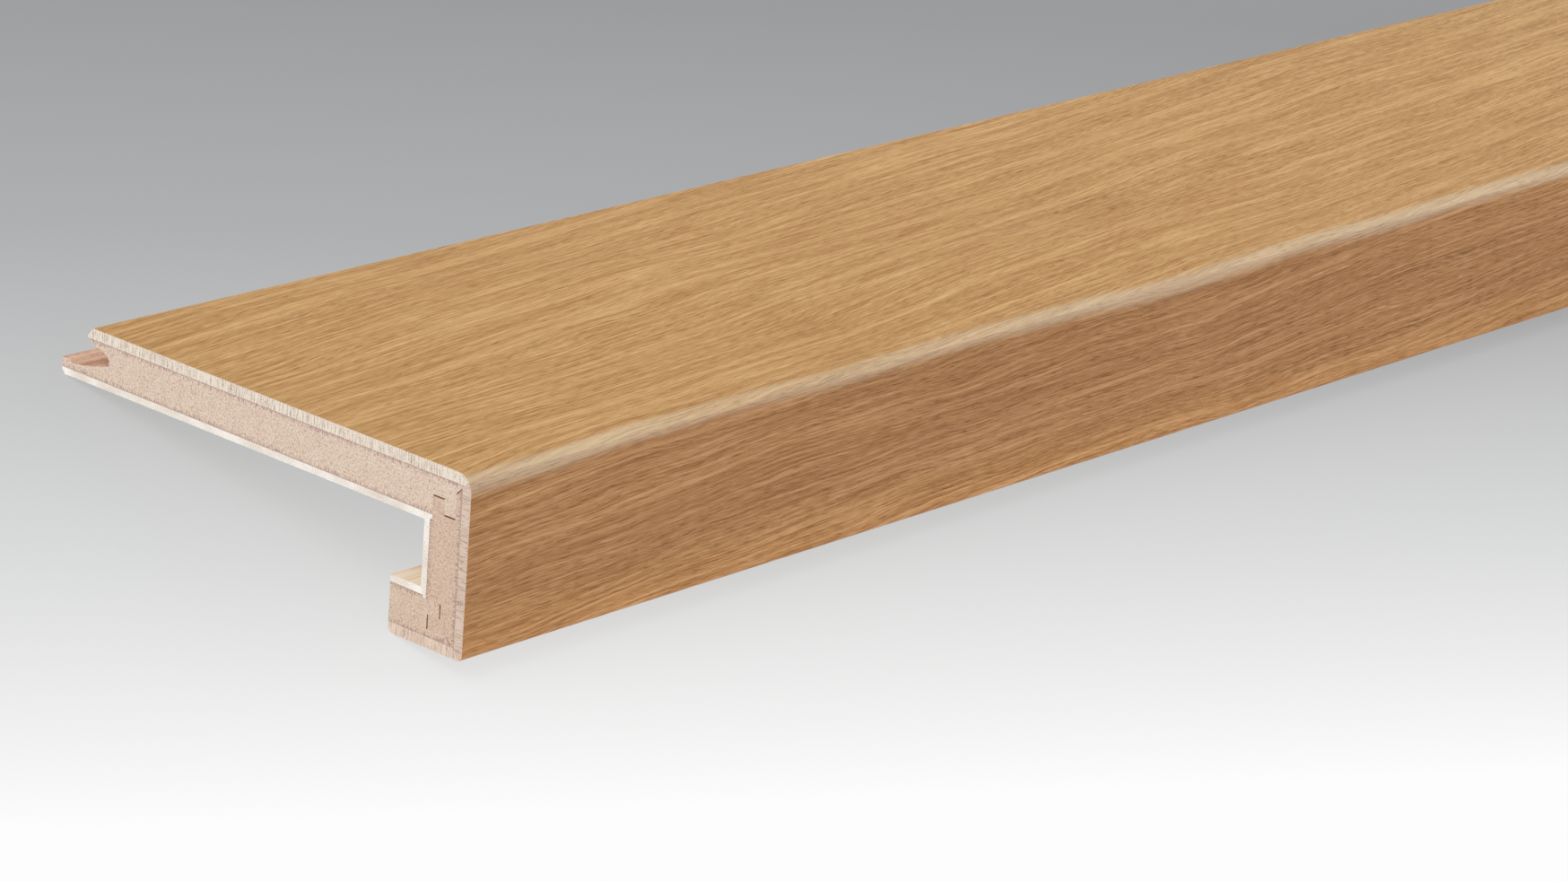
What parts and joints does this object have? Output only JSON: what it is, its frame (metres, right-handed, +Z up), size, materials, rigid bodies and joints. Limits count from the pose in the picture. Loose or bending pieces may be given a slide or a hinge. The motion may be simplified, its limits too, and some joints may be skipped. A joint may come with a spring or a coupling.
{
  "type": "stair nosing profile",
  "caption": "Stair nosing profile of layered oak flooring: a flat tread with a click edge, a rounded nose, a front drop and a return lip.",
  "frame": {"origin": "on the floor, under the middle of the profile's bounding box", "axes": "+Y along the profile's length; +Z up from the floor that it rests on, lip and click edge down; +X towards the nose and front"},
  "size_m": [0.1314, 1.2, 0.044],
  "materials": {
    "oak": "brushed, matt lacquered",
    "core_board": "cut high-density fibreboard",
    "backing_veneer": "sawn softwood veneer"
  },
  "bodies": {
    "root": {"tread_oak_layer": "oak", "tread_core": "core_board", "tread_backing": "backing_veneer", "front_oak_layer": "oak", "front_core": "core_board", "front_backing": "backing_veneer", "lip_oak_layer": "oak", "lip_core": "core_board", "lip_backing": "backing_veneer"}
  },
  "joints": []
}
